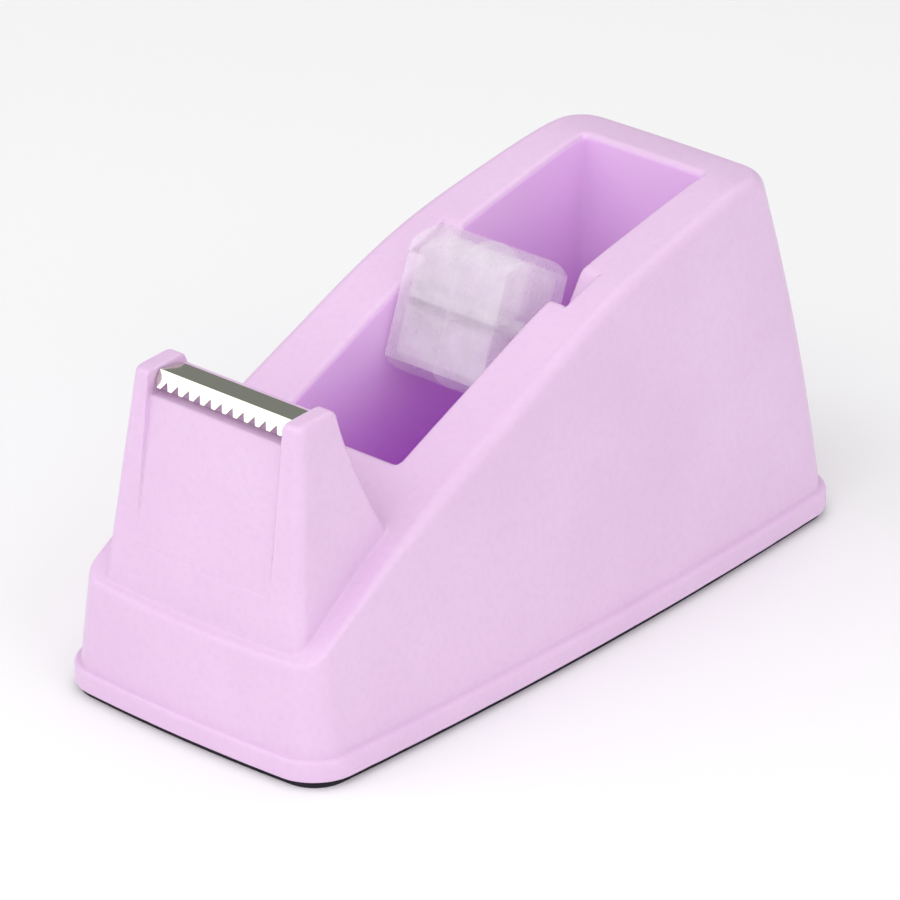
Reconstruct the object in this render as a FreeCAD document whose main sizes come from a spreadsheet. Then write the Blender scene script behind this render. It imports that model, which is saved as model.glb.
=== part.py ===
import FreeCAD, Part
import math
import os
import Sketcher

# Desk tape dispenser.  Width runs along X, length along Y with the cutting
# blade at the -Y end, +Z is up and z = 0 is the underside of the grip pad.

doc = FreeCAD.newDocument("tape_dispenser")
sheet = doc.addObject("Spreadsheet::Sheet", "dims")

DIMS = [
    # grip pad and foot
    ("pad_thick", 1.3), ("pad_half_wide", 26.8), ("pad_half_long", 64.65),
    ("foot_half_wide", 28.0), ("foot_half_long", 65.85), ("foot_top", 5.0),
    ("foot_round", 1.2), ("corner_round", 6.0),
    ("side_bow", 2.4), ("end_bow", 1.2),
    # lower body of the shell
    ("low_z", 3.0), ("mid_z", 32.0), ("high_z", 68.0),
    ("low_front_wide", 26.9), ("low_rear_wide", 26.9),
    ("mid_front_wide", 23.2), ("mid_rear_wide", 23.9),
    ("high_front_wide", 19.0), ("high_rear_wide", 20.2),
    ("low_front", 64.9), ("low_rear", 65.0),
    ("mid_front", 62.1), ("mid_rear", 61.5),
    ("high_front", 57.9), ("high_rear", 53.4),
    ("rim_round", 1.8),
    ("wall", 2.4),
    # front post and its two ears
    ("post_low_z", 12.0), ("post_high_z", 66.0),
    ("post_low_wide", 21.9), ("post_high_wide", 16.8),
    ("post_low_front", 63.2), ("post_high_front", 56.75),
    ("post_round", 1.8), ("post_bow", 0.5), ("ear_gap", 28.2),
    # blade, its seat and the recessed panel below it
    ("seat_z", 56.15), ("seat_drop", 0.45), ("seat_front", 54.7), ("seat_rear", 50.6),
    ("panel_top_z", 53.0), ("panel_top_front", 57.5),
    ("panel_foot_z", 27.5), ("panel_foot_front", 61.8),
    ("blade_wide", 27.6), ("blade_thick", 0.5), ("blade_gap", 0.06),
    ("flange_long", 2.9), ("tooth_pitch", 2.3), ("tooth_deep", 1.1),
    # tape well
    ("well_half_wide", 12.6), ("well_front", 29.6), ("well_rear", 45.9),
    ("well_floor", 9.5), ("well_wall", 2.2),
    # slots for the axle
    ("seat_y", 5.7), ("axle_z", 48.0), ("slot_lean", 32.0),
    ("slot_wide", 5.5), ("slot_reach", 16.4), ("cheek_reach", 18.4),
    # core hub and axle
    ("hub_radius", 12.5), ("hub_half_long", 10.2), ("hub_flat", 8.0),
    ("hub_skin", 1.5), ("hub_face", 1.1), ("hub_tube", 2.6), ("hub_tilt", 20.0), ("hub_shift", 1.7),
    ("hub_seam", 0.02), ("bore_radius", 1.6), ("rod_radius", 1.54),
    ("rod_half_long", 12.4), ("tab_start", 12.2), ("tab_reach", 16.1), ("tab_wide", 5.3),
    # cover, screws and ballast
    ("cover_thick", 2.4), ("cover_gap", 0.2),
    ("boss_x", 20.4), ("boss_front_y", 29.0), ("boss_rear_y", 56.8),
    ("boss_rear_x", 17.0), ("boss_radius", 3.3), ("boss_top", 24.0),
    ("pilot_radius", 1.3), ("screw_radius", 1.25), ("head_radius", 2.8),
    ("head_high", 1.5), ("screw_tip", 15.0),
    ("plate_half_wide", 15.8), ("plate_front", 24.5), ("plate_rear", 46.5),
    ("plate_thick", 3.2),
    ("block_half_wide", 15.0), ("block_front", 58.0), ("block_rear", 38.0),
    ("block_high", 20.0),
    ("slab_half_wide", 12.0), ("slab_front", 49.4), ("slab_rear", 55.4),
    ("slab_high", 34.0),
]

for row, (alias, value) in enumerate(DIMS, start=1):
    sheet.set("A%d" % row, alias)
    sheet.set("B%d" % row, str(value))
    sheet.setAlias("B%d" % row, alias)
doc.recompute()


def dim(alias):
    return float(sheet.get(alias))


def vec(x, y, z=0.0):
    return FreeCAD.Vector(x, y, z)


# ---------------------------------------------------------------- helpers

def new_body(label):
    body = doc.addObject("PartDesign::Body", label)
    body.Label = label
    return body


def plane_of(body, role):
    for item in body.Origin.OriginFeatures:
        if item.Role == role:
            return item
    raise ValueError(role)


def new_sketch(body, name, role, offset="0"):
    sketch = body.newObject("Sketcher::SketchObject", name)
    sketch.AttachmentSupport = [(plane_of(body, role), "")]
    sketch.MapMode = "FlatFace"
    if offset != "0":
        sketch.setExpression(".AttachmentOffset.Base.z", offset)
    return sketch


def add_loop(sketch, edges):
    """Add a closed chain of edges and join each end to its neighbour."""
    first = sketch.GeometryCount
    for edge in edges:
        sketch.addGeometry(edge, False)
    last = sketch.GeometryCount
    for index in range(first, last):
        following = index + 1 if index + 1 < last else first
        gaps = [(sketch.getPoint(index, a).distanceToPoint(sketch.getPoint(following, b)), a, b)
                for a in (1, 2) for b in (1, 2)]
        _, leave, enter = min(gaps)
        sketch.addConstraint(
            Sketcher.Constraint("Coincident", index, leave, following, enter))


def polyline(points):
    return [Part.LineSegment(vec(*points[i]), vec(*points[(i + 1) % len(points)]))
            for i in range(len(points))]


def arc3(start, middle, end):
    return Part.Arc(vec(*start), vec(*middle), vec(*end))


def bowed_outline(wide_front, wide_rear, front, rear, corner, bow_side, bow_end):
    """Rounded rectangle with gently bulging sides, counter-clockwise."""
    base = [(wide_front, -front), (wide_rear, rear), (-wide_rear, rear), (-wide_front, -front)]
    bows = [bow_side, bow_end, bow_side, bow_end]
    sides = []
    for index in range(4):
        start = vec(*base[index])
        end = vec(*base[(index + 1) % 4])
        along = (end - start).normalize()
        out = vec(along.y, -along.x)
        middle = (start + end) * 0.5 + out * bows[index]
        half = start.distanceToPoint(end) / 2
        radius = (half * half + bows[index] ** 2) / (2 * bows[index])
        sides.append((middle - out * radius, radius))
    corners = []
    for index in range(4):
        centre_a, radius_a = sides[index - 1]
        centre_b, radius_b = sides[index]
        near = vec(*base[index])
        corners.append(circle_crossing(centre_a, radius_a - corner,
                                       centre_b, radius_b - corner, near))
    touches = []
    for index in range(4):
        before = sides[index - 1][0]
        after = sides[index][0]
        centre = corners[index]
        touches.append((centre + (centre - before).normalize() * corner,
                        centre + (centre - after).normalize() * corner))
    edges = []
    for index in range(4):
        centre = corners[index]
        entry, leave = touches[index]
        mid_dir = (entry - centre) + (leave - centre)
        edges.append(Part.Arc(entry, centre + mid_dir.normalize() * corner, leave))
        side_centre, side_radius = sides[index]
        arrive = touches[(index + 1) % 4][0]
        mid_side = (leave - side_centre) + (arrive - side_centre)
        edges.append(Part.Arc(leave, side_centre + mid_side.normalize() * side_radius, arrive))
    return edges


def circle_crossing(centre_a, radius_a, centre_b, radius_b, near):
    """Crossing point of two circles, the one closest to 'near'."""
    gap = centre_b - centre_a
    span = gap.Length
    along = (radius_a ** 2 - radius_b ** 2 + span ** 2) / (2 * span)
    across = math.sqrt(max(radius_a ** 2 - along ** 2, 0.0))
    unit = FreeCAD.Vector(gap).normalize()
    side = vec(-unit.y, unit.x)
    options = [centre_a + unit * along + side * across,
               centre_a + unit * along - side * across]
    return min(options, key=lambda point: point.distanceToPoint(near))


def body_level(level, inset):
    """Outline of the lower body at one of its three heights."""
    corner = dim("corner_round") - inset
    return bowed_outline(dim(level + "_front_wide") - inset, dim(level + "_rear_wide") - inset,
                         dim(level + "_front") - inset, dim(level + "_rear") - inset,
                         max(corner, 1.5), dim("side_bow"), dim("end_bow"))


def post_outline(wide, front, inset):
    """Front post in plan: bowed front with rounded corners, square rear."""
    rear = 34.5
    corner = max(dim("post_round") - inset, 1.0)
    wide = wide - inset
    front = front - inset
    bow = dim("post_bow")
    radius = ((wide ** 2) + bow ** 2) / (2 * bow)
    centre = vec(0, -front - bow + radius)
    offset = math.sqrt((radius - corner) ** 2 - (wide - corner) ** 2)
    right = vec(wide - corner, centre.y - offset)
    left = vec(-right.x, right.y)
    right_touch = centre + (right - centre).normalize() * radius
    left_touch = vec(-right_touch.x, right_touch.y)
    middle = vec(0, centre.y - radius)
    bulge = vec(math.sin(math.radians(45)), -math.cos(math.radians(45))) * corner
    return [
        Part.Arc(left_touch, middle, right_touch),
        Part.Arc(right_touch, right + bulge, vec(wide, right.y)),
        Part.LineSegment(vec(wide, right.y), vec(wide, -rear)),
        Part.LineSegment(vec(wide, -rear), vec(-wide, -rear)),
        Part.LineSegment(vec(-wide, -rear), vec(-wide, right.y)),
        Part.Arc(vec(-wide, right.y), left + vec(-bulge.x, bulge.y), left_touch),
    ]


def loft(body, kind, name, sketches):
    feature = body.newObject("PartDesign::" + kind, name)
    feature.Profile = sketches[0]
    feature.Sections = sketches[1:]
    feature.Ruled = False
    return feature


def pocket_both_ways(body, name, sketch, alias):
    """Cut a side profile through both ways to the given half width."""
    feature = body.newObject("PartDesign::Pocket", name)
    feature.Profile = sketch
    feature.SideType = "Symmetric"
    feature.setExpression("Length", "dims.%s * 2" % alias)
    return feature


def box_tool(name, x_half, y_from, y_to, z_from, z_to):
    """Box between two heights, centred on X, sizes bound to the sheet."""
    box = doc.addObject("Part::Box", name)
    box.setExpression("Length", "2 * (%s)" % x_half)
    box.setExpression("Width", "(%s) - (%s)" % (y_to, y_from))
    box.setExpression("Height", "(%s) - (%s)" % (z_to, z_from))
    box.setExpression(".Placement.Base.x", "-(%s)" % x_half)
    box.setExpression(".Placement.Base.y", y_from)
    box.setExpression(".Placement.Base.z", z_from)
    return box


def join(kind, name, base, tool):
    feature = doc.addObject("Part::" + kind, name)
    feature.Base = base
    feature.Tool = tool
    return feature


def fuse_all(name, shapes):
    feature = doc.addObject("Part::MultiFuse", name)
    feature.Shapes = shapes
    return feature


# ------------------------------------------------------------- side profile

# Height of the long sweeping top face along the length of the shell.
SWEEP = [(-72.0, 15.4), (-65.0, 19.1), (-58.0, 23.4), (-46.0, 30.9), (-30.5, 39.0),
         (-12.0, 47.2), (2.0, 53.3), (14.0, 57.4), (27.0, 60.4), (40.0, 63.0),
         (47.0, 63.9), (52.0, 63.8)]


def sweep_curve(drop):
    points = [vec(y, z - drop) for y, z in SWEEP]
    curve = Part.BSplineCurve()
    curve.interpolate(points)
    return curve


def above_sweep(drop, round_size):
    """Everything above the top face, with the rounded rear shoulder."""
    rear_y, rear_z = SWEEP[-1]
    rear_z -= drop
    shoulder_end = (rear_y + round_size * 0.94, rear_z - round_size * 0.76)
    middle = (rear_y + round_size * 0.6, rear_z - round_size * 0.22)
    front_y, front_z = SWEEP[0]
    return [
        sweep_curve(drop),
        arc3((rear_y, rear_z), middle, shoulder_end),
        Part.LineSegment(vec(*shoulder_end), vec(80, shoulder_end[1] - 4)),
        Part.LineSegment(vec(80, shoulder_end[1] - 4), vec(80, 90)),
        Part.LineSegment(vec(80, 90), vec(front_y, 90)),
        Part.LineSegment(vec(front_y, 90), vec(front_y, front_z - drop)),
    ]


# Rear edge of the ears from the crest down to the valley.
EAR_BACK = [(-48.95, 56.0), (-48.4, 53.7), (-47.6, 51.0), (-46.7, 48.6), (-45.8, 46.1),
            (-44.0, 41.7), (-41.2, 35.9), (-38.6, 31.4)]


def above_ears(drop):
    """Everything above and behind the ears of the post."""
    back = Part.BSplineCurve()
    back.interpolate([vec(y - drop * 0.9, z - drop * 0.3) for y, z in EAR_BACK])
    first = back.StartPoint
    last = back.EndPoint
    nose = (-58.7 + drop, 55.2 - drop)
    crest_front = (-56.6 + drop, 57.1 - drop)
    crest_rear = (-50.5 - drop * 0.9, 57.4 - drop)
    return [
        Part.LineSegment(vec(-80, nose[1]), vec(*nose)),
        arc3(nose, (-57.85 + drop, 56.65 - drop), crest_front),
        Part.LineSegment(vec(*crest_front), vec(*crest_rear)),
        arc3(crest_rear, (-49.4 - drop * 0.9, 57.0 - drop * 0.7), (first.x, first.y)),
        back,
        Part.LineSegment(last, vec(-30, last.y - 6)),
        Part.LineSegment(vec(-30, last.y - 6), vec(-30, 90)),
        Part.LineSegment(vec(-30, 90), vec(-80, 90)),
        Part.LineSegment(vec(-80, 90), vec(-80, nose[1])),
    ]


# -------------------------------------------------------------------- shell

def round_edges(body, name, base, radius, wanted):
    """Fillet the edges of a feature that the 'wanted' test picks out."""
    doc.recompute()
    picked = ["Edge%d" % number for number, edge in enumerate(base.Shape.Edges, start=1)
              if wanted(edge)]
    fillet = body.newObject("PartDesign::Fillet", name)
    fillet.Base = (base, picked)
    fillet.setExpression("Radius", radius)
    return fillet


def edge_points(edge):
    first, last = edge.ParameterRange
    return [edge.valueAt(first + (last - first) * step / 6) for step in range(7)]


def on_sweep(edge):
    """True for an edge that follows the rim of the top face, shoulder included."""
    rim = Part.Wire([sweep_curve(0.0).toShape(), above_sweep(0.0, 6.0)[1].toShape()])
    points = edge_points(edge)
    for point in points:
        flat = Part.Vertex(vec(point.y, point.z))
        if flat.distToShape(rim)[0] > 0.03:
            return False
    crosswise = points[0].x * points[-1].x < 0 and abs(points[0].y - points[-1].y) < 0.01
    return not crosswise or points[3].y < 0 or points[3].y > SWEEP[-1][0] + 1


def swept_hull(name, inset):
    """Lower body loft, cut by the sweeping top face."""
    body = new_body(name)
    levels = []
    for level in ("low", "mid", "high"):
        sketch = new_sketch(body, "%s_%s" % (name, level), "XY_Plane", "dims.%s_z" % level)
        add_loop(sketch, body_level(level, inset))
        levels.append(sketch)
    loft(body, "AdditiveLoft", name + "_loft", levels)
    profile = new_sketch(body, name + "_sweep", "YZ_Plane")
    add_loop(profile, above_sweep(inset, 6.0))
    cut = pocket_both_ways(body, name + "_cut", profile, "high_z")
    if inset == 0:
        round_edges(body, name + "_rim", cut, "dims.rim_round", on_sweep)
    return body


def post_hull(name, inset):
    """Front post loft, cut by the side profile of the ears."""
    body = new_body(name)
    levels = []
    for level in ("low", "high"):
        sketch = new_sketch(body, "%s_%s" % (name, level), "XY_Plane", "dims.post_%s_z" % level)
        add_loop(sketch, post_outline(dim("post_%s_wide" % level),
                                      dim("post_%s_front" % level), inset))
        levels.append(sketch)
    loft(body, "AdditiveLoft", name + "_loft", levels)
    profile = new_sketch(body, name + "_profile", "YZ_Plane")
    add_loop(profile, above_ears(inset))
    pocket_both_ways(body, name + "_cut", profile, "post_high_z")
    return body


def foot_ring():
    """Low bead that runs round the bottom edge of the shell."""
    body = new_body("foot_ring")
    sketch = new_sketch(body, "foot_outline", "XY_Plane", "dims.pad_thick")
    add_loop(sketch, bowed_outline(dim("foot_half_wide"), dim("foot_half_wide"),
                                   dim("foot_half_long"), dim("foot_half_long"),
                                   dim("corner_round") + 1.0, dim("side_bow"), dim("end_bow")))
    pad = body.newObject("PartDesign::Pad", "foot_pad")
    pad.Profile = sketch
    pad.setExpression("Length", "dims.foot_top - dims.pad_thick")
    doc.recompute()
    top_edges = []
    for index, edge in enumerate(pad.Shape.Edges, start=1):
        box = edge.BoundBox
        if box.ZMin > dim("foot_top") - 0.01:
            top_edges.append("Edge%d" % index)
    fillet = body.newObject("PartDesign::Fillet", "foot_bead")
    fillet.Base = (pad, top_edges)
    fillet.setExpression("Radius", "dims.foot_round")
    return body


def ear_notch():
    """Space between the ears: above the blade seat and ahead of the recessed panel."""
    body = new_body("ear_notch")
    sketch = new_sketch(body, "notch_profile", "YZ_Plane")
    seat_z = dim("seat_z")
    seat_front = -dim("seat_front")
    seat_rear = -dim("seat_rear")
    rear_z = seat_z - dim("seat_drop")
    add_loop(sketch, polyline([
        (seat_front, seat_z), (seat_rear, rear_z), (seat_rear + 4.0, rear_z - 0.4),
        (seat_rear + 4.0, 80), (-80, 80), (-80, dim("panel_foot_z")),
        (-dim("panel_foot_front"), dim("panel_foot_z")),
        (-dim("panel_top_front"), dim("panel_top_z")),
        (seat_front - 0.2, dim("panel_top_z"))]))
    pad = body.newObject("PartDesign::Pad", "notch_pad")
    pad.Profile = sketch
    pad.SideType = "Symmetric"
    pad.setExpression("Length", "dims.ear_gap")
    return body


def slot_cut(side):
    """Leaning slot in one wall of the well, round at the bottom."""
    name = "slot_right" if side > 0 else "slot_left"
    body = new_body(name)
    sketch = new_sketch(body, name + "_profile", "YZ_Plane")
    half = dim("slot_wide") / 2
    lean = math.radians(dim("slot_lean"))
    up = vec(math.sin(lean), math.cos(lean))
    across = vec(math.cos(lean), -math.sin(lean))
    seat = vec(dim("seat_y"), dim("axle_z"))
    top = 26.0
    right_low = seat + across * half
    left_low = seat - across * half
    add_loop(sketch, [
        Part.Arc(left_low, seat - up * half, right_low),
        Part.LineSegment(right_low, right_low + up * top),
        Part.LineSegment(right_low + up * top, left_low + up * top),
        Part.LineSegment(left_low + up * top, left_low),
    ])
    pad = body.newObject("PartDesign::Pad", name + "_pad")
    pad.Profile = sketch
    pad.setExpression("Length", "dims.slot_reach - dims.well_half_wide + 1")
    sketch.setExpression(".AttachmentOffset.Base.z",
                         "dims.well_half_wide - 1" if side > 0 else "-dims.slot_reach")
    return body


def boss_ribs():
    """Ribs that tie each screw boss to the nearest outer wall."""
    ribs = []
    low = "dims.pad_thick + dims.cover_thick"
    for index, side in enumerate((1, -1), start=1):
        rib = box_tool("boss_rib_front_%d" % index, "10", "-dims.boss_front_y - 0.9",
                       "-dims.boss_front_y + 0.9", low, "dims.boss_top")
        rib.setExpression(".Placement.Base.x",
                          "dims.boss_x" if side > 0 else "-dims.boss_x - 20")
        ribs.append(rib)
        rib = box_tool("boss_rib_rear_%d" % index, "0.9", "dims.boss_rear_y", "80",
                       low, "dims.boss_top")
        rib.setExpression(".Placement.Base.x", "%d * dims.boss_rear_x - 0.9" % side)
        ribs.append(rib)
    return ribs


def screw_posts():
    """The four bosses that take the cover screws."""
    spots = [(1, "boss_x", "-dims.boss_front_y"), (-1, "boss_x", "-dims.boss_front_y"),
             (1, "boss_rear_x", "dims.boss_rear_y"), (-1, "boss_rear_x", "dims.boss_rear_y")]
    posts = []
    pilots = []
    for index, (side, alias, y_value) in enumerate(spots, start=1):
        for kind, radius, group in (("boss", "boss_radius", posts), ("pilot", "pilot_radius", pilots)):
            cylinder = doc.addObject("Part::Cylinder", "%s_%d" % (kind, index))
            cylinder.setExpression("Radius", "dims." + radius)
            top = "dims.boss_top" if kind == "boss" else "dims.screw_tip + 1"
            cylinder.setExpression("Height", "%s - dims.pad_thick - dims.cover_thick" % top)
            cylinder.setExpression(".Placement.Base.x", "%d * dims.%s" % (side, alias))
            cylinder.setExpression(".Placement.Base.y", y_value)
            cylinder.setExpression(".Placement.Base.z", "dims.pad_thick + dims.cover_thick")
            group.append(cylinder)
    return posts, pilots


def make_shell():
    """Hollow moulded shell with its tape well, post, slots and bosses."""
    outer = fuse_all("shell_outer", [swept_hull("hull_outer", 0.0), post_hull("post_outer", 0.0),
                                     foot_ring()])
    inner_body = swept_hull("hull_inner", dim("wall"))
    lower_hollow = new_body("lower_hollow")
    sketch = new_sketch(lower_hollow, "lower_hollow_outline", "XY_Plane")
    inset = dim("wall")
    add_loop(sketch, bowed_outline(dim("low_front_wide") - inset, dim("low_rear_wide") - inset,
                                   dim("low_front") - inset, dim("low_rear") - inset,
                                   dim("corner_round") - inset, dim("side_bow"), dim("end_bow")))
    pad = lower_hollow.newObject("PartDesign::Pad", "lower_hollow_pad")
    pad.Profile = sketch
    pad.setExpression("Length", "dims.low_z + 0.5")
    inner_all = fuse_all("hollow_all", [inner_body, post_hull("post_inner", dim("wall")),
                                        lower_hollow])
    well_block = box_tool("well_block", "dims.well_half_wide + dims.well_wall",
                          "-dims.well_front - dims.well_wall", "dims.well_rear + dims.well_wall",
                          "dims.well_floor - dims.well_wall", "90")
    cheek_block = box_tool("cheek_block", "dims.cheek_reach", "dims.seat_y - 6", "dims.seat_y + 14",
                           "dims.axle_z - 7", "90")
    seat_block = box_tool("seat_block", "dims.ear_gap / 2 + 10", "-dims.seat_front - 14",
                          "-dims.seat_rear + 4", "dims.panel_top_z - 2.4", "90")
    panel_block = new_body("panel_block")
    panel_sketch = new_sketch(panel_block, "panel_profile", "YZ_Plane")
    panel_foot = dim("panel_foot_z")
    foot_front = -dim("panel_foot_front")
    top_z = dim("panel_top_z")
    add_loop(panel_sketch, polyline([(foot_front - 2, panel_foot - 2), (foot_front + 2.7, panel_foot - 2),
                                     (-dim("panel_top_front") + 2.7, top_z),
                                     (-dim("panel_top_front") - 10, top_z)]))
    panel_pad = panel_block.newObject("PartDesign::Pad", "panel_pad")
    panel_pad.Profile = panel_sketch
    panel_pad.SideType = "Symmetric"
    panel_pad.setExpression("Length", "dims.ear_gap + 20")
    posts, pilots = screw_posts()
    kept = fuse_all("kept_inside", [well_block, cheek_block, seat_block, panel_block]
                    + posts + boss_ribs())
    hollow = join("Cut", "hollow", inner_all, kept)
    skin = join("Cut", "shell_skin", outer, hollow)
    well = box_tool("well_space", "dims.well_half_wide", "-dims.well_front", "dims.well_rear",
                    "dims.well_floor", "90")
    cuts = fuse_all("shell_cuts", [well, ear_notch(), slot_cut(1), slot_cut(-1)] + pilots)
    shell = join("Cut", "shell", skin, cuts)
    shell.Label = "shell"
    return shell


# -------------------------------------------------------------------- blade

def make_blade():
    """Bent steel strip with a row of triangular teeth along the front."""
    body = new_body("blade")
    profile = new_sketch(body, "blade_profile", "YZ_Plane")
    thick = dim("blade_thick")
    along = vec(-(dim("seat_rear") - dim("seat_front")), -dim("seat_drop")).normalize()
    lift = vec(-along.y, along.x) * dim("blade_gap")
    rear_low = vec(-dim("seat_rear"), dim("seat_z") - dim("seat_drop")) + lift - along * 0.1
    up = vec(-along.y, along.x) * thick
    bend_high = vec(-dim("seat_front"), dim("seat_z")) + lift + up - along * 0.75
    slope = vec(-1.65, -2.35).normalize()
    tip_high = bend_high + slope * dim("flange_long")
    tip_low = tip_high + vec(-slope.y, slope.x) * thick
    bend_low = tip_low - slope * (dim("flange_long") - 0.22)
    add_loop(profile, polyline([tuple(p)[:2] for p in (
        rear_low, rear_low + up, bend_high, tip_high, tip_low, bend_low)]))
    pad = body.newObject("PartDesign::Pad", "blade_strip")
    pad.Profile = profile
    pad.SideType = "Symmetric"
    pad.setExpression("Length", "dims.blade_wide")
    teeth = new_sketch(body, "tooth_gaps", "XZ_Plane")
    count = round(dim("blade_wide") / dim("tooth_pitch"))
    pitch = dim("blade_wide") / count
    low = tip_high.y - 0.5
    deep = dim("tooth_deep")
    for index in range(count + 1):
        centre = -dim("blade_wide") / 2 + index * pitch
        add_loop(teeth, polyline([(centre - pitch / 2 * 0.98, low), (centre + pitch / 2 * 0.98, low),
                                  (centre, low + deep + 0.5)]))
    pocket = body.newObject("PartDesign::Pocket", "teeth")
    pocket.Profile = teeth
    pocket.SideType = "Symmetric"
    pocket.Length = 200
    return body


# ---------------------------------------------------------------- core hub

def hub_profile_edges(radius, flat):
    """Circle with a flat cut off at the front and at the rear."""
    height = math.sqrt(radius ** 2 - flat ** 2)
    return [
        Part.LineSegment(vec(-flat, height), vec(-flat, -height)),
        arc3((-flat, -height), (0, -radius), (flat, -height)),
        Part.LineSegment(vec(flat, -height), vec(flat, height)),
        arc3((flat, height), (0, radius), (-flat, height)),
    ]


def make_hub_half(side):
    """One of the two moulded halves of the core hub, a ribbed cup open at the seam."""
    name = "hub_half_right" if side > 0 else "hub_half_left"
    body = new_body(name)
    outline = new_sketch(body, name + "_outline", "YZ_Plane")
    add_loop(outline, hub_profile_edges(dim("hub_radius"), dim("hub_flat")))
    pad = body.newObject("PartDesign::Pad", name + "_pad")
    pad.Profile = outline
    pad.setExpression("Length", "dims.hub_half_long - dims.hub_seam")
    outline.setExpression(".AttachmentOffset.Base.z",
                          "dims.hub_seam" if side > 0 else "-dims.hub_half_long")
    pockets = new_sketch(body, name + "_pockets", "YZ_Plane")
    skin = dim("hub_skin")
    inner = dim("hub_radius") - skin
    flat = dim("hub_flat")
    web = 0.8
    shelf = dim("hub_tube")
    top_height = math.sqrt(inner ** 2 - web ** 2)
    reach = flat - dim("hub_face")
    mid_y = (reach + web) / 2
    mid_height = math.sqrt(inner ** 2 - mid_y ** 2)
    edge_height = math.sqrt(inner ** 2 - reach ** 2)
    tube = math.sqrt(shelf ** 2 - web ** 2)
    for sy in (-1, 1):
        for sz in (-1, 1):
            add_loop(pockets, [
                arc3((sy * web, sz * top_height), (sy * mid_y, sz * mid_height),
                     (sy * reach, sz * edge_height)),
                Part.LineSegment(vec(sy * reach, sz * edge_height), vec(sy * reach, sz * web)),
                Part.LineSegment(vec(sy * reach, sz * web), vec(sy * tube, sz * web)),
                arc3((sy * tube, sz * web), (sy * shelf * 0.7071, sz * shelf * 0.7071),
                     (sy * web, sz * tube)),
                Part.LineSegment(vec(sy * web, sz * tube), vec(sy * web, sz * top_height)),
            ])
    end_wall = 1.3
    start = dim("hub_seam") if side > 0 else -dim("hub_half_long") + end_wall
    pockets.AttachmentOffset = FreeCAD.Placement(vec(0, 0, start), FreeCAD.Rotation())
    cut = body.newObject("PartDesign::Pocket", name + "_windows")
    cut.Profile = pockets
    cut.Length = dim("hub_half_long") - dim("hub_seam") - end_wall
    cut.Reversed = True
    bore = new_sketch(body, name + "_bore", "YZ_Plane")
    bore.addGeometry(Part.Circle(vec(0, 0), vec(0, 0, 1), dim("bore_radius")), False)
    hole = body.newObject("PartDesign::Pocket", name + "_hole")
    hole.Profile = bore
    hole.SideType = "Symmetric"
    hole.Length = 60
    body.Placement = FreeCAD.Placement(
        vec(-dim("hub_shift"), dim("seat_y"), dim("axle_z")),
        FreeCAD.Rotation(vec(1, 0, 0), -dim("hub_tilt")))
    return body


def make_axle():
    """Axle rod whose flat-sided ends drop into the leaning slots."""
    body = new_body("hub_axle")
    rod = new_sketch(body, "rod_outline", "YZ_Plane")
    rod.addGeometry(Part.Circle(vec(0, 0), vec(0, 0, 1), dim("rod_radius")), False)
    pad = body.newObject("PartDesign::Pad", "rod")
    pad.Profile = rod
    pad.SideType = "Symmetric"
    pad.setExpression("Length", "2 * dims.rod_half_long")
    half = dim("tab_wide") / 2
    for side, tag in ((1, "right"), (-1, "left")):
        tab = new_sketch(body, "tab_outline_" + tag, "YZ_Plane")
        add_loop(tab, [
            Part.Arc(vec(-half, 0), vec(0, -half), vec(half, 0)),
            Part.LineSegment(vec(half, 0), vec(half, half)),
            Part.LineSegment(vec(half, half), vec(-half, half)),
            Part.LineSegment(vec(-half, half), vec(-half, 0)),
        ])
        tab.setExpression(".AttachmentOffset.Base.z",
                          "dims.tab_start" if side > 0 else "-dims.tab_reach")
        block = body.newObject("PartDesign::Pad", "tab_" + tag)
        block.Profile = tab
        block.setExpression("Length", "dims.tab_reach - dims.tab_start")
    body.Placement = FreeCAD.Placement(
        vec(0, dim("seat_y"), dim("axle_z")),
        FreeCAD.Rotation(vec(1, 0, 0), -dim("slot_lean")))
    return body


# ------------------------------------------------------ cover, pad, ballast

def plan_plate(name, outline, z_alias, height):
    body = new_body(name)
    sketch = new_sketch(body, name + "_outline", "XY_Plane", z_alias)
    add_loop(sketch, outline)
    pad = body.newObject("PartDesign::Pad", name + "_pad")
    pad.Profile = sketch
    pad.setExpression("Length", height)
    return body


def make_grip_pad():
    return plan_plate("grip_pad",
                      bowed_outline(dim("pad_half_wide"), dim("pad_half_wide"),
                                    dim("pad_half_long"), dim("pad_half_long"),
                                    dim("corner_round"), dim("side_bow"), dim("end_bow")),
                      "0", "dims.pad_thick")


def make_cover():
    """Flat cover that closes the underside, with four countersunk holes."""
    inset = dim("wall") + dim("cover_gap")
    body = plan_plate("base_cover",
                      bowed_outline(dim("low_front_wide") - inset, dim("low_rear_wide") - inset,
                                    dim("low_front") - inset, dim("low_rear") - inset,
                                    dim("corner_round") - inset, dim("side_bow"), dim("end_bow")),
                      "dims.pad_thick", "dims.cover_thick")
    for kind, radius, depth in (("shank", 1.6, 20.0), ("head", 3.1, 2 * dim("head_high") + 0.3)):
        sketch = new_sketch(body, kind + "_holes", "XY_Plane", "dims.pad_thick")
        for x_value, y_value in screw_spots():
            sketch.addGeometry(Part.Circle(vec(x_value, y_value), vec(0, 0, 1), radius), False)
        hole = body.newObject("PartDesign::Pocket", kind + "_cut")
        hole.Profile = sketch
        hole.SideType = "Symmetric"
        hole.Length = depth
    return body


def screw_spots():
    front = -dim("boss_front_y")
    rear = dim("boss_rear_y")
    return [(dim("boss_x"), front), (-dim("boss_x"), front),
            (dim("boss_rear_x"), rear), (-dim("boss_rear_x"), rear)]


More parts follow.
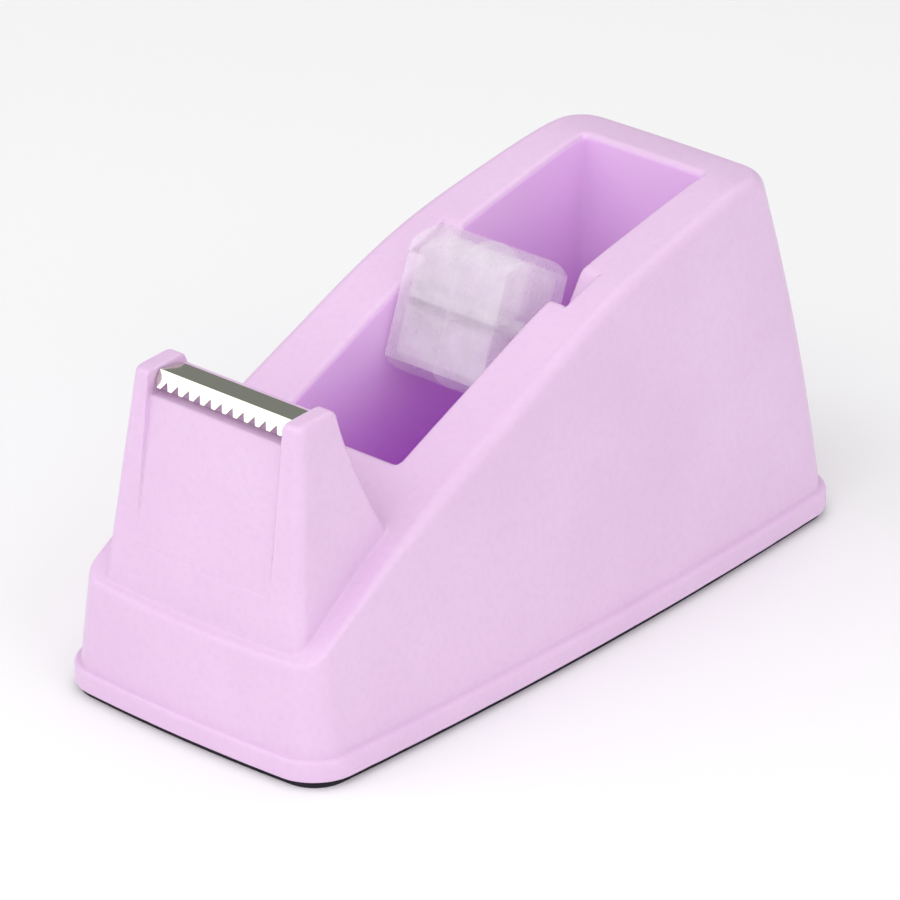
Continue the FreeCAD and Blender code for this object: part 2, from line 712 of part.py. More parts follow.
def make_screws():
    """Four self-tapping screws, head down, as one group."""
    low = "dims.pad_thick + 0.1"
    pieces = []
    for index, (x_value, y_value) in enumerate(screw_spots(), start=1):
        head = doc.addObject("Part::Cylinder", "screw_head_%d" % index)
        head.setExpression("Radius", "dims.head_radius")
        head.setExpression("Height", "dims.head_high")
        shank = doc.addObject("Part::Cylinder", "screw_shank_%d" % index)
        shank.setExpression("Radius", "dims.screw_radius")
        shank.setExpression("Height", "dims.screw_tip - (%s)" % low)
        for piece in (head, shank):
            piece.Placement = FreeCAD.Placement(vec(x_value, y_value, 0), FreeCAD.Rotation())
            piece.setExpression(".Placement.Base.z", low)
            pieces.append(piece)
    screws = fuse_all("cover_screws", pieces)
    screws.Label = "cover_screws"
    return screws


def make_ballast():
    """Steel weights resting on the cover: front, under the well and rear."""
    floor = "dims.pad_thick + dims.cover_thick"
    front = box_tool("ballast_front", "dims.block_half_wide", "-dims.block_front",
                     "-dims.block_rear", floor, floor + " + dims.block_high")
    middle = box_tool("ballast_plate", "dims.plate_half_wide", "-dims.plate_front",
                      "dims.plate_rear", floor, floor + " + dims.plate_thick")
    rear = box_tool("ballast_rear", "dims.slab_half_wide", "dims.slab_front",
                    "dims.slab_rear", floor, floor + " + dims.slab_high")
    for weight in (front, middle, rear):
        weight.Label = weight.Name
    return [front, middle, rear]


# ------------------------------------------------------------------- build

parts = [make_shell(), make_cover(), make_grip_pad(), make_screws(), make_blade(),
         make_hub_half(1), make_hub_half(-1), make_axle()] + make_ballast()
doc.recompute()

for item in doc.Objects:
    if "Invalid" in item.State or "Error" in item.State:
        raise RuntimeError("%s did not compute: %s" % (item.Name, item.State))

os.makedirs("parts", exist_ok=True)
for part in parts:
    if part.Shape.isNull() or not part.Shape.isValid() or part.Shape.Volume <= 0:
        raise RuntimeError("bad shape: " + part.Label)
    part.Shape.exportStep("parts/%s.step" % part.Label)
    box = part.Shape.BoundBox
    print("%-16s %9.1f mm3  solids %d  X %.2f..%.2f  Y %.2f..%.2f  Z %.2f..%.2f" % (
        part.Label, part.Shape.Volume, len(part.Shape.Solids), box.XMin, box.XMax,
        box.YMin, box.YMax, box.ZMin, box.ZMax))
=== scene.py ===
import math

import bpy
import numpy as np
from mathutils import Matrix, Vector


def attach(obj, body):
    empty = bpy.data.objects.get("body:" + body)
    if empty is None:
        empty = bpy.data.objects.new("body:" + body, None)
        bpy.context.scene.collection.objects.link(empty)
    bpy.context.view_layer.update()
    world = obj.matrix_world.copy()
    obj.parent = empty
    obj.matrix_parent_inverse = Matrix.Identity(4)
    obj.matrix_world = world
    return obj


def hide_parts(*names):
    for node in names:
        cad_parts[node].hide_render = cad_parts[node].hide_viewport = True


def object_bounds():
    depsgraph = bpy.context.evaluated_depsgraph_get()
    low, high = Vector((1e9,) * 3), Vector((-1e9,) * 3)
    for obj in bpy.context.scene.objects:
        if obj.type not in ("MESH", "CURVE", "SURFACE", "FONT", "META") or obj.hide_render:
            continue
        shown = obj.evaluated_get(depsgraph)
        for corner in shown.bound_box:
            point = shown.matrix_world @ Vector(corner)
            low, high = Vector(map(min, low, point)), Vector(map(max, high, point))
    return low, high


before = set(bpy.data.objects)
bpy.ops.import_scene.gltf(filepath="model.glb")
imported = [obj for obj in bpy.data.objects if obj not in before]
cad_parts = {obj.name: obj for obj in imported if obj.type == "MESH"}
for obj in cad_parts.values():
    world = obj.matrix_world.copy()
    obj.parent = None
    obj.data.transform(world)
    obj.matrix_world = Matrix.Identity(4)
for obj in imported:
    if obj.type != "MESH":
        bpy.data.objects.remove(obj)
CAD_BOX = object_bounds()

MM = 0.001

# ------------------------------------------------------------------ camera

AZIMUTH = math.radians(40.958)
ELEVATION = math.radians(26.364)
CAMERA_RIGHT = Vector((math.cos(AZIMUTH), math.sin(AZIMUTH), 0.0))
CAMERA_BACK = Vector((math.sin(AZIMUTH) * math.cos(ELEVATION),
                      -math.cos(AZIMUTH) * math.cos(ELEVATION), math.sin(ELEVATION)))
CAMERA_UP = CAMERA_BACK.cross(CAMERA_RIGHT)


def add_camera():
    camera = bpy.data.objects.new("camera", bpy.data.cameras.new("camera"))
    bpy.context.scene.collection.objects.link(camera)
    camera.data.sensor_width = 36.0
    camera.data.lens = 244.76
    camera.data.clip_start, camera.data.clip_end = 0.05, 20.0
    camera.location = CAMERA_RIGHT * -0.00174 + CAMERA_UP * 0.02371 + CAMERA_BACK * 1.00489
    camera.rotation_mode = "QUATERNION"
    camera.rotation_quaternion = (-CAMERA_BACK).to_track_quat("-Z", "Y")
    bpy.context.scene.camera = camera


# ------------------------------------------------------- shell, as a field
# Every length below is in millimetres.  A field is negative inside the
# plastic and grows outwards, and the shell is where the last field is zero.

LEVELS = (3.0, 32.0, 68.0)
FRONT_HALF_WIDTHS = (26.9, 23.2, 19.0)
REAR_HALF_WIDTHS = (26.9, 23.9, 20.2)
FRONT_ENDS = (64.9, 62.1, 57.9)
REAR_ENDS = (65.0, 61.5, 53.4)
SIDE_BOW, END_BOW = 2.4, 1.2
WALL = 2.4
BASE_Z = 1.3
HULL_REAR_CORNER = 6.0
FRONT_CORNER_LEVELS, FRONT_CORNERS = (4.0, 22.0), (5.5, 3.2)
RIM_STATIONS, RIM_ROUNDS = (-58.0, -30.0), (0.6, 2.0)
POST_LOW_Z, POST_HIGH_Z = 12.0, 66.0
POST_WIDE, POST_NARROWS = 21.9, 5.1
POST_FRONT, POST_LEANS = 63.2, 6.45
POST_BOW, POST_CORNER, EAR_ROUND = 0.5, 1.9, 1.0
POST_BLEND = 0.4
FOOT_HALF_WIDE, FOOT_HALF_LONG, FOOT_CORNER = 28.0, 65.85, 7.0
FOOT_TOP, FOOT_ROUND, FOOT_BLEND = 5.0, 0.9, 0.25

SWEEP = ((-72.0, 15.4), (-65.0, 19.1), (-58.0, 23.4), (-46.0, 30.9), (-30.5, 39.0),
         (-12.0, 47.2), (2.0, 53.3), (14.0, 57.4), (27.0, 60.4), (40.0, 63.0),
         (47.0, 63.9), (52.0, 63.8))
EAR_BACK = ((-48.95, 56.0), (-48.4, 53.7), (-47.6, 51.0), (-46.7, 48.6), (-45.8, 46.1),
            (-44.0, 41.7), (-41.2, 35.9), (-38.6, 31.4))
EAR_GAP = 14.1
NOTCH = ((-54.7, 56.15), (-50.6, 55.7), (-44.0, 55.2), (-44.0, 90.0), (-90.0, 90.0),
         (-90.0, 28.5), (-61.43, 28.5), (-57.5, 53.0), (-54.9, 53.0))
PANEL = ((-63.43, 26.5), (-58.73, 26.5), (-54.8, 53.0), (-67.5, 53.0))
WELL = (12.6, -29.6, 45.9, 9.5)
SEAT_Y, SEAT_Z, SLOT_LEAN = 5.7, 48.0, math.radians(32.0)
SLOT_HALF, SLOT_REACH = 2.75, 16.4
WELL_CORNER, WELL_EDGE = 0.8, 1.0
NOTCH_CORNER, NOTCH_EDGE, SLOT_EDGE, BASE_EDGE = 0.15, 0.25, 0.5, 0.3
WELL_WALL = 2.2
CHEEK_REACH, CHEEK_FRONT, CHEEK_REAR, CHEEK_LOW = 18.4, -0.3, 19.7, 41.0
SEAT_FRONT, SEAT_REAR, SEAT_LOW = -68.7, -46.6, 50.6
BOSSES = ((20.4, -29.0), (17.0, 56.8))
BOSS_RADIUS, BOSS_TOP, RIB_HALF = 3.3, 24.0, 0.9
PILOT_RADIUS, PILOT_TOP = 1.3, 16.0


def both(a, b, radius):
    """Space inside both fields, the shared edge rounded."""
    over = np.sqrt(np.maximum(a + radius, 0) ** 2 + np.maximum(b + radius, 0) ** 2)
    return np.minimum(np.maximum(a, b), -radius) + over


def either(a, b, radius):
    return -both(-a, -b, radius)


def at_level(z, values):
    """Quadratic through the values at the three levels."""
    (z0, z1, z2), (v0, v1, v2) = LEVELS, values
    return (v0 * (z - z1) * (z - z2) / ((z0 - z1) * (z0 - z2))
            + v1 * (z - z0) * (z - z2) / ((z1 - z0) * (z1 - z2))
            + v2 * (z - z0) * (z - z1) / ((z2 - z0) * (z2 - z1)))


def bowed_plan(x, y, wide_front, wide_rear, front, rear, front_corner, rear_corner):
    """Rounded oblong whose four sides bulge a little."""
    along = (wide_rear - wide_front), (rear + front)
    length = np.sqrt(along[0] ** 2 + along[1] ** 2)
    out_x, out_y = along[1] / length, -along[0] / length
    radius = ((length / 2) ** 2 + SIDE_BOW ** 2) / (2 * SIDE_BOW)
    centre_x = (wide_front + wide_rear) / 2 + out_x * (SIDE_BOW - radius)
    centre_y = (rear - front) / 2 + out_y * (SIDE_BOW - radius)
    side = np.hypot(np.abs(x) - centre_x, y - centre_y) - radius
    ends = []
    for wide, end, way in ((wide_front, front, -1), (wide_rear, rear, 1)):
        radius = (wide ** 2 + END_BOW ** 2) / (2 * END_BOW)
        ends.append(np.hypot(x, y * way - (end + END_BOW - radius)) - radius)
    return both(both(side, ends[0], front_corner), ends[1], rear_corner)


def smooth_line(points, steps=12):
    """Points along a natural cubic spline through the given ones."""
    points = np.array(points, float)
    chord = np.concatenate(([0], np.cumsum(np.linalg.norm(np.diff(points, axis=0), axis=1))))
    gap = np.diff(chord)
    count = len(points)
    system = np.eye(count)
    right = np.zeros((count, 2))
    for i in range(1, count - 1):
        system[i, i - 1:i + 2] = gap[i - 1], 2 * (gap[i - 1] + gap[i]), gap[i]
        right[i] = 6 * ((points[i + 1] - points[i]) / gap[i] - (points[i] - points[i - 1]) / gap[i - 1])
    bend = np.linalg.solve(system, right)
    line = []
    for i in range(count - 1):
        for t in np.arange(steps) * gap[i] / steps:
            s = gap[i] - t
            line.append((bend[i] * s ** 3 + bend[i + 1] * t ** 3) / (6 * gap[i])
                        + (points[i] / gap[i] - bend[i] * gap[i] / 6) * s
                        + (points[i + 1] / gap[i] - bend[i + 1] * gap[i] / 6) * t)
    return [tuple(p) for p in line] + [tuple(points[-1])]


def arc_through(a, b, c, steps=10):
    """Points of the circle arc from a by b to c, a left out."""
    (ax, ay), (bx, by), (cx, cy) = a, b, c
    d = 2 * (ax * (by - cy) + bx * (cy - ay) + cx * (ay - by))
    ux = ((ax * ax + ay * ay) * (by - cy) + (bx * bx + by * by) * (cy - ay)
          + (cx * cx + cy * cy) * (ay - by)) / d
    uy = ((ax * ax + ay * ay) * (cx - bx) + (bx * bx + by * by) * (ax - cx)
          + (cx * cx + cy * cy) * (bx - ax)) / d
    start, end = math.atan2(ay - uy, ax - ux), math.atan2(cy - uy, cx - ux)
    turn = (end - start + math.pi) % (2 * math.pi) - math.pi
    radius = math.hypot(ax - ux, ay - uy)
    return [(ux + radius * math.cos(start + turn * k / steps),
             uy + radius * math.sin(start + turn * k / steps)) for k in range(1, steps + 1)]


def outline_field(y, z, points):
    """Distance to a closed outline in the side view, negative inside."""
    y, z = np.broadcast_arrays(y, z)
    nearest = np.full(y.shape, 1e9)
    inside = np.zeros(y.shape, bool)
    for (ya, za), (yb, zb) in zip(points, points[1:] + points[:1]):
        dy, dz = yb - ya, zb - za
        t = np.clip(((y - ya) * dy + (z - za) * dz) / (dy * dy + dz * dz), 0, 1)
        nearest = np.minimum(nearest, (y - ya - t * dy) ** 2 + (z - za - t * dz) ** 2)
        if dz:
            crosses = (za > z) != (zb > z)
            inside ^= crosses & (y < ya + (z - za) * dy / dz)
    return np.where(inside, -1, 1) * np.sqrt(nearest)


SWEEP_LINE = smooth_line(SWEEP)
SWEEP_LINE += arc_through((52.0, 63.8), (55.6, 62.48), (57.64, 59.24))
UNDER_SWEEP = SWEEP_LINE + [(90.0, 53.4), (90.0, -60.0), (-110.0, -60.0), (-110.0, -6.0)]
EAR_LINE = [(-90.0, 56.9), (-56.6, 57.1), (-50.5, 57.4)]
EAR_LINE += arc_through((-50.5, 57.4), (-49.4, 57.0), (-48.95, 56.0), 6)[:-1]
EAR_LINE += smooth_line(EAR_BACK, 6)
UNDER_EARS = EAR_LINE + [(-37.5, 28.0), (-37.5, -20.0), (-90.0, -20.0)]


def slot_outline():
    up = np.array((math.sin(SLOT_LEAN), math.cos(SLOT_LEAN)))
    across = np.array((up[1], -up[0]))
    seat = np.array((SEAT_Y, SEAT_Z))
    turn = np.radians(np.linspace(180, 360, 17))
    low = [seat + SLOT_HALF * (math.cos(t) * across + math.sin(t) * up) for t in turn]
    high = [low[-1] + 30 * up, low[0] + 30 * up]
    return [tuple(p) for p in low + high]


SLOT = slot_outline()


def oblong(x, y, half_x, front, rear):
    return np.maximum(np.abs(x) - half_x, np.abs(y - (front + rear) / 2) - (rear - front) / 2)


def hull_field(x, y, z, sweep):
    plan = bowed_plan(x, y, at_level(z, FRONT_HALF_WIDTHS), at_level(z, REAR_HALF_WIDTHS),
                      at_level(z, FRONT_ENDS), at_level(z, REAR_ENDS),
                      np.interp(z, FRONT_CORNER_LEVELS, FRONT_CORNERS), HULL_REAR_CORNER)
    return both(plan, sweep, np.interp(y, RIM_STATIONS, RIM_ROUNDS))


def post_field(x, y, z, ears):
    rise = (z - POST_LOW_Z) / (POST_HIGH_Z - POST_LOW_Z)
    wide = POST_WIDE - POST_NARROWS * rise
    front = POST_FRONT - POST_LEANS * rise
    radius = (wide ** 2 + POST_BOW ** 2) / (2 * POST_BOW)
    face = np.hypot(x, y + front + POST_BOW - radius) - radius
    plan = both(np.abs(x) - wide, face, POST_CORNER)
    return both(plan, ears, EAR_ROUND)


def kept_inside(x, y, z):
    """Walls, ledges and screw posts that stand inside the hollow."""
    half_wide, front, rear, floor = WELL
    well = np.maximum(oblong(x, y, half_wide + WELL_WALL, front - WELL_WALL, rear + WELL_WALL),
                      floor - WELL_WALL - z)
    cheeks = np.maximum(oblong(x, y, CHEEK_REACH, CHEEK_FRONT, CHEEK_REAR), CHEEK_LOW - z)
    seat = np.maximum(oblong(x, y, EAR_GAP + WELL_WALL, SEAT_FRONT, SEAT_REAR), SEAT_LOW - z)
    panel = np.maximum(np.abs(x) - EAR_GAP - WELL_WALL, outline_field(y, z, list(PANEL)))
    kept = np.minimum(np.minimum(well, cheeks), np.minimum(seat, panel))
    for (post_x, post_y), rib in zip(BOSSES, ((1, 0), (0, 1))):
        post = np.hypot(np.abs(x) - post_x, y - post_y) - BOSS_RADIUS
        if rib[0]:
            fin = np.maximum(np.abs(y - post_y) - RIB_HALF, post_x - np.abs(x))
        else:
            fin = np.maximum(np.abs(np.abs(x) - post_x) - RIB_HALF, post_y - y)
        kept = np.minimum(kept, np.maximum(np.minimum(post, fin), z - BOSS_TOP))
    return kept


def shell_field(x, y, z):
    sweep = outline_field(y, z, UNDER_SWEEP)
    ears = outline_field(y, z, UNDER_EARS)
    hull = hull_field(x, y, z, sweep)
    post = post_field(x, y, z, ears)
    foot_plan = bowed_plan(x, y, FOOT_HALF_WIDE, FOOT_HALF_WIDE, FOOT_HALF_LONG, FOOT_HALF_LONG,
                           FOOT_CORNER, FOOT_CORNER)
    foot = both(foot_plan, z - FOOT_TOP, FOOT_ROUND)
    outside = either(either(hull, post, POST_BLEND), foot, FOOT_BLEND)
    hollow = np.maximum(np.minimum(hull, post) + WALL, -kept_inside(x, y, z))
    notch = both(np.abs(x) - EAR_GAP, outline_field(y, z, list(NOTCH)), NOTCH_CORNER)
    half_wide, front, rear, floor = WELL
    well_plan = both(np.abs(x) - half_wide,
                     np.abs(y - (front + rear) / 2) - (rear - front) / 2, WELL_CORNER)
    well = both(well_plan, floor - z, WELL_CORNER)
    slot = np.maximum(np.abs(x) - SLOT_REACH, outline_field(y, z, SLOT))
    body = both(outside, -well, WELL_EDGE)
    body = both(body, -notch, NOTCH_EDGE)
    body = both(body, -slot, SLOT_EDGE)
    body = both(body, BASE_Z - z, BASE_EDGE)
    body = np.maximum(body, -hollow)
    for post_x, post_y in BOSSES:
        pilot = np.maximum(np.hypot(np.abs(x) - post_x, y - post_y) - PILOT_RADIUS,
                           z - PILOT_TOP)
        body = np.maximum(body, -pilot)
    return body


def stops(*runs):
    """Grid lines: (start, end, step) runs laid end to end."""
    lines = [runs[0][0]]
    for start, end, step in runs:
        count = max(1, round((end - start) / step))
        lines.extend(start + (end - start) * (k + 1) / count for k in range(count))
    return np.array(lines)


def net(field, xs, ys, zs):
    """Corner points and faces of the zero surface, one point in each crossed cell."""
    corner = [field[i:field.shape[0] - 1 + i, j:field.shape[1] - 1 + j, k:field.shape[2] - 1 + k]
              for i in (0, 1) for j in (0, 1) for k in (0, 1)]
    inside = sum((c < 0).astype(np.int8) for c in corner)
    cells = np.argwhere((inside > 0) & (inside < 8))
    number = np.full(inside.shape, -1, np.int32)
    number[tuple(cells.T)] = np.arange(len(cells))
    values = np.stack([c[tuple(cells.T)] for c in corner], 1)
    low = np.stack([xs[cells[:, 0]], ys[cells[:, 1]], zs[cells[:, 2]]], 1)
    size = np.stack([xs[cells[:, 0] + 1], ys[cells[:, 1] + 1], zs[cells[:, 2] + 1]], 1) - low
    spots = [np.array((i, j, k), float) for i in (0, 1) for j in (0, 1) for k in (0, 1)]
    total = np.zeros((len(cells), 3))
    count = np.zeros(len(cells))
    for a in range(8):
        for b in range(a + 1, 8):
            if abs(spots[a] - spots[b]).sum() != 1:
                continue
            va, vb = values[:, a], values[:, b]
            mixed = (va < 0) != (vb < 0)
            t = np.where(mixed, va / np.where(mixed, va - vb, 1), 0)
            total += np.where(mixed[:, None], spots[a] + (spots[b] - spots[a]) * t[:, None], 0)
            count += mixed
    points = low + size * total / count[:, None]
    faces = []
    below = field < 0
    for way in range(3):
        first = np.moveaxis(below, way, 0)
        step = first[:-1] != first[1:]
        spot = np.moveaxis(step, 0, way)
        edges = np.argwhere(spot)
        others = [d for d in range(3) if d != way]
        keep = np.all([(edges[:, d] > 0) & (edges[:, d] < field.shape[d] - 1) for d in others], 0)
        edges = edges[keep]
        ring = []
        for da, db in ((1, 1), (0, 1), (0, 0), (1, 0)):
            cell = edges.copy()
            cell[:, others[0]] -= da
            cell[:, others[1]] -= db
            ring.append(number[tuple(cell.T)])
        quad = np.stack(ring, 1)
        flip = below[tuple(edges.T)] == (way == 1)
        quad[flip] = quad[flip][:, ::-1]
        faces.append(quad)
    return points, np.concatenate(faces)


def slope_at(field, points, reach=0.05):
    """The field and its slope at loose points."""
    here = field(*points.T)
    slope = np.empty_like(points)
    for way in range(3):
        moved = points.copy()
        moved[:, way] += reach
        back = points.copy()
        back[:, way] -= reach
        slope[:, way] = (field(*moved.T) - field(*back.T)) / (2 * reach)
    return here, slope


LARGEST_SHIFT = 0.3
NORMAL_REACH = 0.12


def build_shell():
    """Mesh of the moulding, each point moved once onto the zero of the field."""
    xs = stops((-31.2, -11.4, 0.4), (-11.4, 11.4, 1.2), (11.4, 31.2, 0.4))
    ys = stops((-68.0, -52.0, 0.35), (-52.0, -38.0, 0.5), (-38.0, -4.0, 1.1), (-4.0, 24.0, 0.6),
               (24.0, 44.0, 1.1), (44.0, 60.0, 0.6), (60.0, 68.0, 0.4))
    zs = stops((0.55, 7.05, 0.3), (7.05, 17.05, 0.6), (17.05, 30.05, 0.35), (30.05, 66.05, 0.5))
    field = shell_field(xs[:, None, None], ys[None, :, None], zs[None, None, :])
    points, faces = net(field, xs, ys, zs)
    here, slope = slope_at(shell_field, points)
    shift = -here[:, None] * slope / np.maximum((slope ** 2).sum(1), 0.2)[:, None]
    points += np.clip(shift, -LARGEST_SHIFT, LARGEST_SHIFT)
    _, slope = slope_at(shell_field, points, NORMAL_REACH)
    normals = slope / np.maximum(np.linalg.norm(slope, axis=1), 1e-6)[:, None]
    mesh = bpy.data.meshes.new("shell_moulding")
    mesh.from_pydata((points * MM).tolist(), [], faces.tolist())
    mesh.polygons.foreach_set("use_smooth", [True] * len(mesh.polygons))
    mesh.update()
    mesh.normals_split_custom_set_from_vertices(normals.tolist())
    shell = bpy.data.objects.new("shell_moulding", mesh)
    bpy.context.scene.collection.objects.link(shell)
    print("shell", len(points), "points", len(faces), "faces")
    return shell


# --------------------------------------------------------------- materials

class Nodes:
    """Short way to build a node material."""

    def __init__(self, name):
        self.material = bpy.data.materials.new(name)
        self.material.use_nodes = True
        self.tree = self.material.node_tree
        self.shader = self.tree.nodes["Principled BSDF"]

    def add(self, kind, inputs=None, **settings):
        node = self.tree.nodes.new(kind)
        for key, value in settings.items():
            setattr(node, key, value)
        for key, value in (inputs or {}).items():
            if isinstance(value, bpy.types.NodeSocket):
                self.tree.links.new(value, node.inputs[key])
            else:
                node.inputs[key].default_value = value
        return node

    def surface(self, **inputs):
        for key, value in inputs.items():
            self.plug(key.replace("_", " "), value)

    def plug(self, key, value):
        if isinstance(value, bpy.types.NodeSocket):
            self.tree.links.new(value, self.shader.inputs[key])
        else:
            self.shader.inputs[key].default_value = value

    def place(self, scale=(1, 1, 1)):
        where = self.add("ShaderNodeTexCoord").outputs["Object"]
        return self.add("ShaderNodeMapping", {"Vector": where, "Scale": scale}).outputs["Vector"]

    def noise(self, vector, scale, detail=3.0, rough=0.55):
        return self.add("ShaderNodeTexNoise", {"Vector": vector, "Scale": scale, "Detail": detail,
                                               "Roughness": rough}).outputs["Fac"]

    def ramp(self, value, low, high, start, end):
        return self.add("ShaderNodeMapRange", {"Value": value, "From Min": low, "From Max": high,
                                               "To Min": start, "To Max": end}).outputs["Result"]

    def painted_well_light_masks(self):
        """Where the tape well is, for painted light there, and how deep in it, for painted shade: 0 at
        the rim, 1 at its floor.
        """
        where = self.add("ShaderNodeTexCoord").outputs["Object"]
        x, y, z = self.add("ShaderNodeSeparateXYZ", {"Vector": where}).outputs
        sideways = self.add("ShaderNodeMath", {0: x}, operation="ABSOLUTE").outputs[0]
        masks = [self.ramp(sideways, 0.01275, 0.01265, 0.0, 1.0),
                 self.ramp(y, -0.0298, -0.0296, 0.0, 1.0),
                 self.ramp(y, 0.0461, 0.0459, 0.0, 1.0),
                 self.ramp(z, 0.042, 0.012, 0.0, 1.0)]
        steps = [masks[0]]
        for mask in masks[1:]:
            steps.append(self.add("ShaderNodeMath", {0: steps[-1], 1: mask},
                                  operation="MULTIPLY").outputs[0])
        return steps[-2], steps[-1]

    def blend(self, factor, a, b):
        node = self.add("ShaderNodeMix", data_type="RGBA")
        self.tree.links.new(factor, node.inputs[0])
        for index, colour in ((6, a), (7, b)):
            if isinstance(colour, bpy.types.NodeSocket):
                self.tree.links.new(colour, node.inputs[index])
            else:
                node.inputs[index].default_value = colour
        return node.outputs[2]

    def bump(self, height, distance, strength=1.0, normal=None):
        inputs = {"Height": height, "Distance": distance, "Strength": strength}
        if normal is not None:
            inputs["Normal"] = normal
        return self.add("ShaderNodeBump", inputs).outputs["Normal"]


def linear(red, green, blue):
    """Colour as seen on a screen, 0-255, as the linear values nodes take."""
    out = []
    for value in (red, green, blue):
        value /= 255
        out.append(value / 12.92 if value <= 0.04045 else ((value + 0.055) / 1.055) ** 2.4)
    return (*out, 1.0)


def lilac_plastic():
    make = Nodes("lilac_moulded_plastic")
    place = make.place()
    cloud = make.noise(place, 35.0, 2.0)
    flecks = make.noise(place, 900.0, 2.0)
    colour = make.blend(make.ramp(cloud, 0.35, 0.65, 0.0, 1.0),
                        linear(227, 194, 228), linear(231, 199, 232))
    colour = make.blend(make.ramp(flecks, 0.45, 0.75, 0.0, 0.25), colour, linear(216, 180, 220))
    well_painted_light, well_painted_shade = make.painted_well_light_masks()
    # painted light: the whole tape well is coloured lighter than the outside, standing in for light
    # reaching its walls
    colour = make.blend(well_painted_light, colour, linear(243, 204, 249))
    # painted shade: a deeper, more saturated purple from 42 mm down to 12 mm, darkening the well
    # towards its floor
    colour = make.blend(well_painted_shade, colour, linear(222, 140, 240))
    grain = make.noise(place, 2600.0, 2.0)
    waves = make.noise(place, 22.0, 1.0)
    normal = make.bump(waves, 0.0002, 0.12)
    normal = make.bump(grain, 0.00002, 0.25, normal)
    make.surface(Base_Color=colour, Normal=normal,
                 Roughness=make.ramp(make.noise(place, 160.0, 4.0), 0.3, 0.7, 0.30, 0.38))
    make.plug("IOR", 1.5)
    make.plug("Specular IOR Level", 0.45)
    make.plug("Subsurface Weight", 0.18)
    make.plug("Subsurface Radius", (1.0, 0.6, 1.0))
    make.plug("Subsurface Scale", 0.002)
    return make.material


def cover_plastic():
    make = Nodes("black_cover_plastic")
    place = make.place()
    colour = make.blend(make.noise(place, 60.0, 3.0), linear(52, 50, 54), linear(66, 63, 68))
    make.surface(Base_Color=colour, Normal=make.bump(make.noise(place, 1500.0, 2.0), 0.00005, 0.4),
                 Roughness=make.ramp(make.noise(place, 120.0), 0.3, 0.7, 0.45, 0.58))
    return make.material


def pad_foam():
    make = Nodes("black_foam_rubber")
    place = make.place()
    pores = make.add("ShaderNodeTexVoronoi", {"Vector": place, "Scale": 1100.0}).outputs["Distance"]
    colour = make.blend(make.noise(place, 240.0, 4.0), linear(16, 15, 22), linear(36, 34, 44))
    make.surface(Base_Color=colour, Roughness=make.ramp(pores, 0.0, 0.7, 0.72, 0.92),
                 Normal=make.bump(pores, 0.00025, 0.6))
    return make.material


def steel(name, colour_a, colour_b, streak, rough):
    make = Nodes(name)
    place = make.place(streak)
    lines = make.noise(place, 1.0, 5.0, 0.6)
    colour = make.blend(lines, colour_a, colour_b)
    make.surface(Base_Color=colour, Metallic=1.0,
                 Roughness=make.ramp(lines, 0.3, 0.7, rough[0], rough[1]),
                 Normal=make.bump(lines, 0.00002, 0.35))
    return make.material


def clear_plastic():
    make = Nodes("clear_polystyrene")
    place = make.place()
    haze = make.noise(place, 260.0, 4.0)
    scratches = make.add("ShaderNodeTexNoise", {
        "Vector": make.place((3000.0, 300.0, 300.0)), "Scale": 1.0, "Detail": 2.0}).outputs["Fac"]
    make.surface(Base_Color=make.blend(haze, linear(250, 241, 251), linear(254, 248, 254)),
                 Roughness=make.ramp(haze, 0.3, 0.8, 0.03, 0.10),
                 Normal=make.bump(scratches, 0.00002, 0.2,
                                  make.bump(make.noise(place, 110.0, 2.0), 0.0004, 0.25)))
    make.plug("IOR", 1.55)
    make.plug("Alpha", make.ramp(haze, 0.3, 0.8, 0.25, 0.36))
    # painted glow: a faint pale-lilac emission makes the clear plastic give off light of its own,
    # though it is no lamp
    make.plug("Emission Color", linear(250, 232, 255))
    make.plug("Emission Strength", 0.06)
    return make.material


def cast_iron():
    make = Nodes("ballast_iron")
    place = make.place()
    lumps = make.noise(place, 420.0, 5.0, 0.65)
    rust = make.noise(place, 70.0, 4.0)
    colour = make.blend(make.ramp(rust, 0.55, 0.75, 0.0, 0.6), linear(92, 92, 96),
                        linear(110, 80, 62))
    make.surface(Base_Color=colour, Metallic=0.6, Roughness=make.ramp(lumps, 0.3, 0.7, 0.5, 0.75),
                 Normal=make.bump(lumps, 0.0003, 0.5))
    return make.material


def dress(node, material, bevel=0.0, segments=2):
    """Give a CAD node its material and soften its edges."""
    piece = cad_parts[node]
    piece.data.materials.clear()
    piece.data.materials.append(material)
    if bevel:
        soften = piece.modifiers.new("soft_edges", "BEVEL")
        soften.width = bevel * MM
        soften.segments = segments
        soften.limit_method = "ANGLE"
        soften.angle_limit = math.radians(35)
        soften.harden_normals = True
    return piece


# -------------------------------------------------------------------- stage

def area_light(name, place, aim, size, power):
    light = bpy.data.lights.new(name, "AREA")
    light.shape = "RECTANGLE"
    light.size, light.size_y = size
    light.energy = power
    lamp = bpy.data.objects.new(name, light)
    bpy.context.scene.collection.objects.link(lamp)
    lamp.location = place
    lamp.rotation_mode = "QUATERNION"
    lamp.rotation_quaternion = (Vector(aim) - Vector(place)).to_track_quat("-Z", "Y")


WORLD_STRENGTH = 0.52
DARK_STRENGTH = 0.27
DARK_TOWARDS = (-0.587, 0.757, 0.286)
LIGHTS = (("key", (0.15, -0.75, 0.65), 0.9, 3.4), ("fill", (0.85, -0.15, 0.55), 0.9, 2.9),
          ("top", (-0.10, 0.35, 0.95), 1.0, 2.4), ("glint", (-0.60, -0.55, 0.60), 0.6, 1.8))


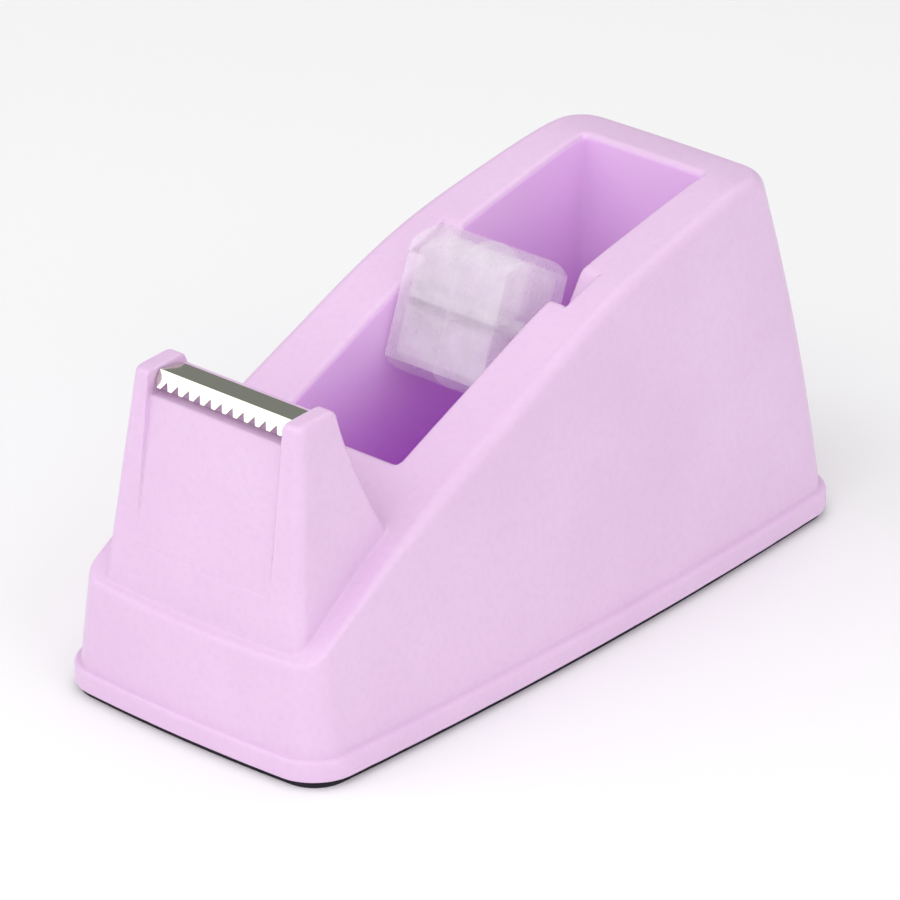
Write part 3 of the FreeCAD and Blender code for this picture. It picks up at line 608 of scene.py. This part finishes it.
def add_surroundings():
    """White all round, with one darker patch for the top of the blade to mirror."""
    world = bpy.data.worlds.new("studio")
    world.use_nodes = True
    nodes, links = world.node_tree.nodes, world.node_tree.links
    sky = nodes["Background"]
    sky.inputs["Color"].default_value = (1.0, 1.0, 1.0, 1.0)
    away = nodes.new("ShaderNodeTexCoord").outputs["Generated"]
    aim = nodes.new("ShaderNodeVectorMath")
    aim.operation = "DOT_PRODUCT"
    aim.inputs[1].default_value = DARK_TOWARDS
    links.new(away, aim.inputs[0])
    card = nodes.new("ShaderNodeMapRange")
    for key, value in (("From Min", 0.70), ("From Max", 0.86),
                       ("To Min", WORLD_STRENGTH), ("To Max", DARK_STRENGTH)):
        card.inputs[key].default_value = value
    links.new(aim.outputs["Value"], card.inputs["Value"])
    links.new(card.outputs["Result"], sky.inputs["Strength"])
    bpy.context.scene.world = world


def add_stage():
    make = Nodes("studio_paper")
    place = make.place()
    make.surface(Base_Color=make.blend(make.noise(place, 3.0, 2.0), (0.95, 0.95, 0.955, 1),
                                       (0.97, 0.97, 0.975, 1)),
                 Roughness=0.85)
    mesh = bpy.data.meshes.new("floor")
    half = 4.0
    mesh.from_pydata([(-half, -half, 0), (half, -half, 0), (half, half, 0), (-half, half, 0)], [],
                     [(0, 1, 2, 3)])
    mesh.materials.append(make.material)
    floor = bpy.data.objects.new("floor", mesh)
    bpy.context.scene.collection.objects.link(floor)
    add_surroundings()
    low, high = CAD_BOX
    centre = (low + high) / 2
    for name, offset, size, power in LIGHTS:
        area_light(name, centre + Vector(offset), centre, (size, size), power)


add_camera()
add_stage()
bpy.context.scene.view_settings.view_transform = "Standard"

shell_finish = lilac_plastic()
shell = build_shell()
shell.data.materials.append(shell_finish)
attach(shell, "base")
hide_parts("shell")

clear = clear_plastic()
iron = cast_iron()
bright_steel = steel("blade_steel_polished", linear(204, 208, 188), linear(226, 229, 214),
                     (60.0, 5200.0, 5200.0), (0.07, 0.14))
screw_zinc = steel("screw_zinc", linear(150, 150, 156), linear(184, 184, 190),
                   (900.0, 900.0, 200.0), (0.28, 0.42))
dress("base_cover", cover_plastic(), 0.3)
dress("grip_pad", pad_foam(), 0.25)
dress("cover_screws", screw_zinc, 0.15)
dress("blade", bright_steel, 0.06)
dress("hub_half_right", clear, 0.25, 3)
dress("hub_half_left", clear, 0.25, 3)
dress("hub_axle", clear, 0.2, 3)
for weight in ("ballast_front", "ballast_plate", "ballast_rear"):
    dress(weight, iron, 0.6, 3)
